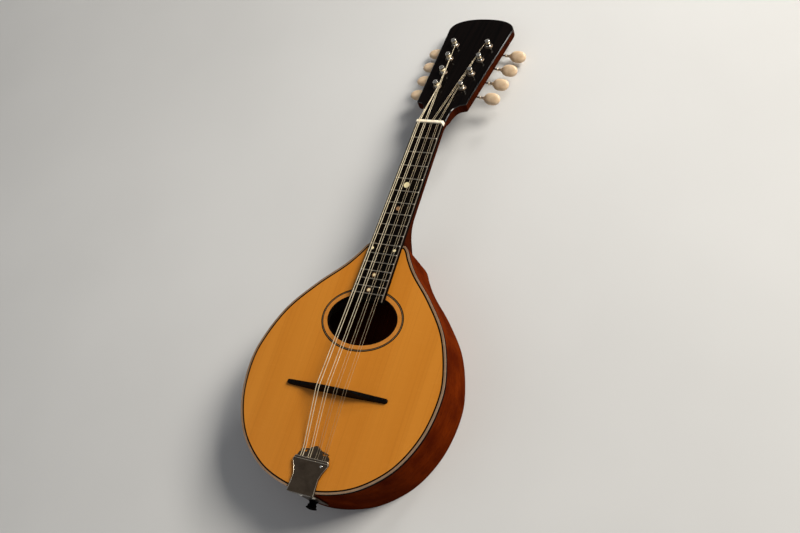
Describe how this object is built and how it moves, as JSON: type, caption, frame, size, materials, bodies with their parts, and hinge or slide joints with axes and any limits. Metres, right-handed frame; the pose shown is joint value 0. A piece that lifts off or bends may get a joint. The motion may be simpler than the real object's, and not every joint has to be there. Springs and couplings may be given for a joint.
{
  "type": "mandolin",
  "caption": "Teardrop mandolin with an oval sound hole, flat back, bound edge, fretted neck, geared tuners, floating bridge and a tailpiece with a sliding cover.",
  "frame": {"origin": "on the flat back's outer face, on the centre line, straight below the bridge", "axes": "+Z out of the soundboard, +Y from the tail to the head, +X to the treble side"},
  "size_m": [0.2278, 0.6145, 0.0718],
  "materials": {
    "spruce": "golden amber varnish, fine straight grain, satin gloss",
    "mahogany": "dark reddish-brown stained and varnished",
    "inner_wood": "bare inside wood",
    "binding": "aged cream edge binding",
    "ebony": "black, satin",
    "black_veneer": "black lacquered head facing, glossy",
    "bone": "polished bone",
    "fret_metal": "polished nickel silver",
    "wound_string": "wound bronze",
    "plain_string": "plain steel wire",
    "tuner_steel": "nickel plated, polished",
    "cream_button": "cream, polished",
    "nickel": "dulled grey nickel plate"
  },
  "bodies": {
    "instrument": {"soundboard": "spruce", "back_plate": "mahogany", "rim": "mahogany", "neck": "mahogany", "top_lining": "inner_wood", "back_lining": "inner_wood", "neck_block": "inner_wood", "tail_block": "inner_wood", "soundboard_brace": "inner_wood", "back_brace": "inner_wood", "top_binding": "binding", "fretboard": "ebony", "bridge": "ebony", "end_pin": "ebony", "head_veneer": "black_veneer", "nut": "bone", "fret_01": "fret_metal", "fret_02": "fret_metal", "fret_03": "fret_metal", "fret_04": "fret_metal", "fret_05": "fret_metal", "fret_06": "fret_metal", "fret_07": "fret_metal", "fret_08": "fret_metal", "fret_09": "fret_metal", "fret_10": "fret_metal", "fret_11": "fret_metal", "fret_12": "fret_metal", "fret_13": "fret_metal", "fret_14": "fret_metal", "fret_15": "fret_metal", "fret_16": "fret_metal", "string_g_1": "wound_string", "string_g_2": "wound_string", "string_d_1": "wound_string", "string_d_2": "wound_string", "string_a_1": "plain_string", "string_a_2": "plain_string", "string_e_1": "plain_string", "string_e_2": "plain_string", "tuner_plate_treble": "nickel", "tuner_plate_bass": "nickel", "tailpiece_base": "nickel"},
    "cover": {"tailpiece_cover": "nickel"},
    "button_treble_1": {"button_treble_1": "cream_button"},
    "post_treble_1": {"post_treble_1": "tuner_steel"},
    "button_treble_2": {"button_treble_2": "cream_button"},
    "post_treble_2": {"post_treble_2": "tuner_steel"},
    "button_treble_3": {"button_treble_3": "cream_button"},
    "post_treble_3": {"post_treble_3": "tuner_steel"},
    "button_treble_4": {"button_treble_4": "cream_button"},
    "post_treble_4": {"post_treble_4": "tuner_steel"},
    "button_bass_1": {"button_bass_1": "cream_button"},
    "post_bass_1": {"post_bass_1": "tuner_steel"},
    "button_bass_2": {"button_bass_2": "cream_button"},
    "post_bass_2": {"post_bass_2": "tuner_steel"},
    "button_bass_3": {"button_bass_3": "cream_button"},
    "post_bass_3": {"post_bass_3": "tuner_steel"},
    "button_bass_4": {"button_bass_4": "cream_button"},
    "post_bass_4": {"post_bass_4": "tuner_steel"}
  },
  "joints": [
    {"name": "cover_slide", "type": "slide", "parent": "instrument", "child": "cover", "axis": [0, -1, 0], "range_m": [0, 0.03]},
    {"name": "button_treble_1_turn", "type": "hinge", "parent": "instrument", "child": "button_treble_1", "pos_m": [0.01631, 0.38043, 0.0259], "axis": [0.9968, -0.0778, 0.0194], "continuous": true},
    {"name": "post_treble_1_turn", "type": "hinge", "parent": "instrument", "child": "post_treble_1", "pos_m": [0.0158, 0.37864, 0.0451], "axis": [0, 0.2419, 0.9703], "continuous": true},
    {"name": "button_treble_2_turn", "type": "hinge", "parent": "instrument", "child": "button_treble_2", "pos_m": [0.01828, 0.4041, 0.01999], "axis": [0.9968, -0.0778, 0.0194], "continuous": true},
    {"name": "post_treble_2_turn", "type": "hinge", "parent": "instrument", "child": "post_treble_2", "pos_m": [0.01776, 0.40232, 0.0392], "axis": [0, 0.2419, 0.9703], "continuous": true},
    {"name": "button_treble_3_turn", "type": "hinge", "parent": "instrument", "child": "button_treble_3", "pos_m": [0.02024, 0.42778, 0.01409], "axis": [0.9968, -0.0778, 0.0194], "continuous": true},
    {"name": "post_treble_3_turn", "type": "hinge", "parent": "instrument", "child": "post_treble_3", "pos_m": [0.01973, 0.42599, 0.03329], "axis": [0, 0.2419, 0.9703], "continuous": true},
    {"name": "button_treble_4_turn", "type": "hinge", "parent": "instrument", "child": "button_treble_4", "pos_m": [0.0222, 0.45145, 0.00819], "axis": [0.9968, -0.0778, 0.0194], "continuous": true},
    {"name": "post_treble_4_turn", "type": "hinge", "parent": "instrument", "child": "post_treble_4", "pos_m": [0.02169, 0.44967, 0.02739], "axis": [0, 0.2419, 0.9703], "continuous": true},
    {"name": "button_bass_1_turn", "type": "hinge", "parent": "instrument", "child": "button_bass_1", "pos_m": [-0.01631, 0.38043, 0.0259], "axis": [-0.9968, -0.0778, 0.0194], "continuous": true},
    {"name": "post_bass_1_turn", "type": "hinge", "parent": "instrument", "child": "post_bass_1", "pos_m": [-0.0158, 0.37864, 0.0451], "axis": [0, 0.2419, 0.9703], "continuous": true},
    {"name": "button_bass_2_turn", "type": "hinge", "parent": "instrument", "child": "button_bass_2", "pos_m": [-0.01828, 0.4041, 0.01999], "axis": [-0.9968, -0.0778, 0.0194], "continuous": true},
    {"name": "post_bass_2_turn", "type": "hinge", "parent": "instrument", "child": "post_bass_2", "pos_m": [-0.01776, 0.40232, 0.0392], "axis": [0, 0.2419, 0.9703], "continuous": true},
    {"name": "button_bass_3_turn", "type": "hinge", "parent": "instrument", "child": "button_bass_3", "pos_m": [-0.02024, 0.42778, 0.01409], "axis": [-0.9968, -0.0778, 0.0194], "continuous": true},
    {"name": "post_bass_3_turn", "type": "hinge", "parent": "instrument", "child": "post_bass_3", "pos_m": [-0.01973, 0.42599, 0.03329], "axis": [0, 0.2419, 0.9703], "continuous": true},
    {"name": "button_bass_4_turn", "type": "hinge", "parent": "instrument", "child": "button_bass_4", "pos_m": [-0.0222, 0.45145, 0.00819], "axis": [-0.9968, -0.0778, 0.0194], "continuous": true},
    {"name": "post_bass_4_turn", "type": "hinge", "parent": "instrument", "child": "post_bass_4", "pos_m": [-0.02169, 0.44967, 0.02739], "axis": [0, 0.2419, 0.9703], "continuous": true}
  ],
  "couplings": [
    {"joint": "post_treble_1_turn", "follows": "button_treble_1_turn", "ratio": 0.071429},
    {"joint": "post_treble_2_turn", "follows": "button_treble_2_turn", "ratio": 0.071429},
    {"joint": "post_treble_3_turn", "follows": "button_treble_3_turn", "ratio": 0.071429},
    {"joint": "post_treble_4_turn", "follows": "button_treble_4_turn", "ratio": 0.071429},
    {"joint": "post_bass_1_turn", "follows": "button_bass_1_turn", "ratio": -0.071429},
    {"joint": "post_bass_2_turn", "follows": "button_bass_2_turn", "ratio": -0.071429},
    {"joint": "post_bass_3_turn", "follows": "button_bass_3_turn", "ratio": -0.071429},
    {"joint": "post_bass_4_turn", "follows": "button_bass_4_turn", "ratio": -0.071429}
  ]
}
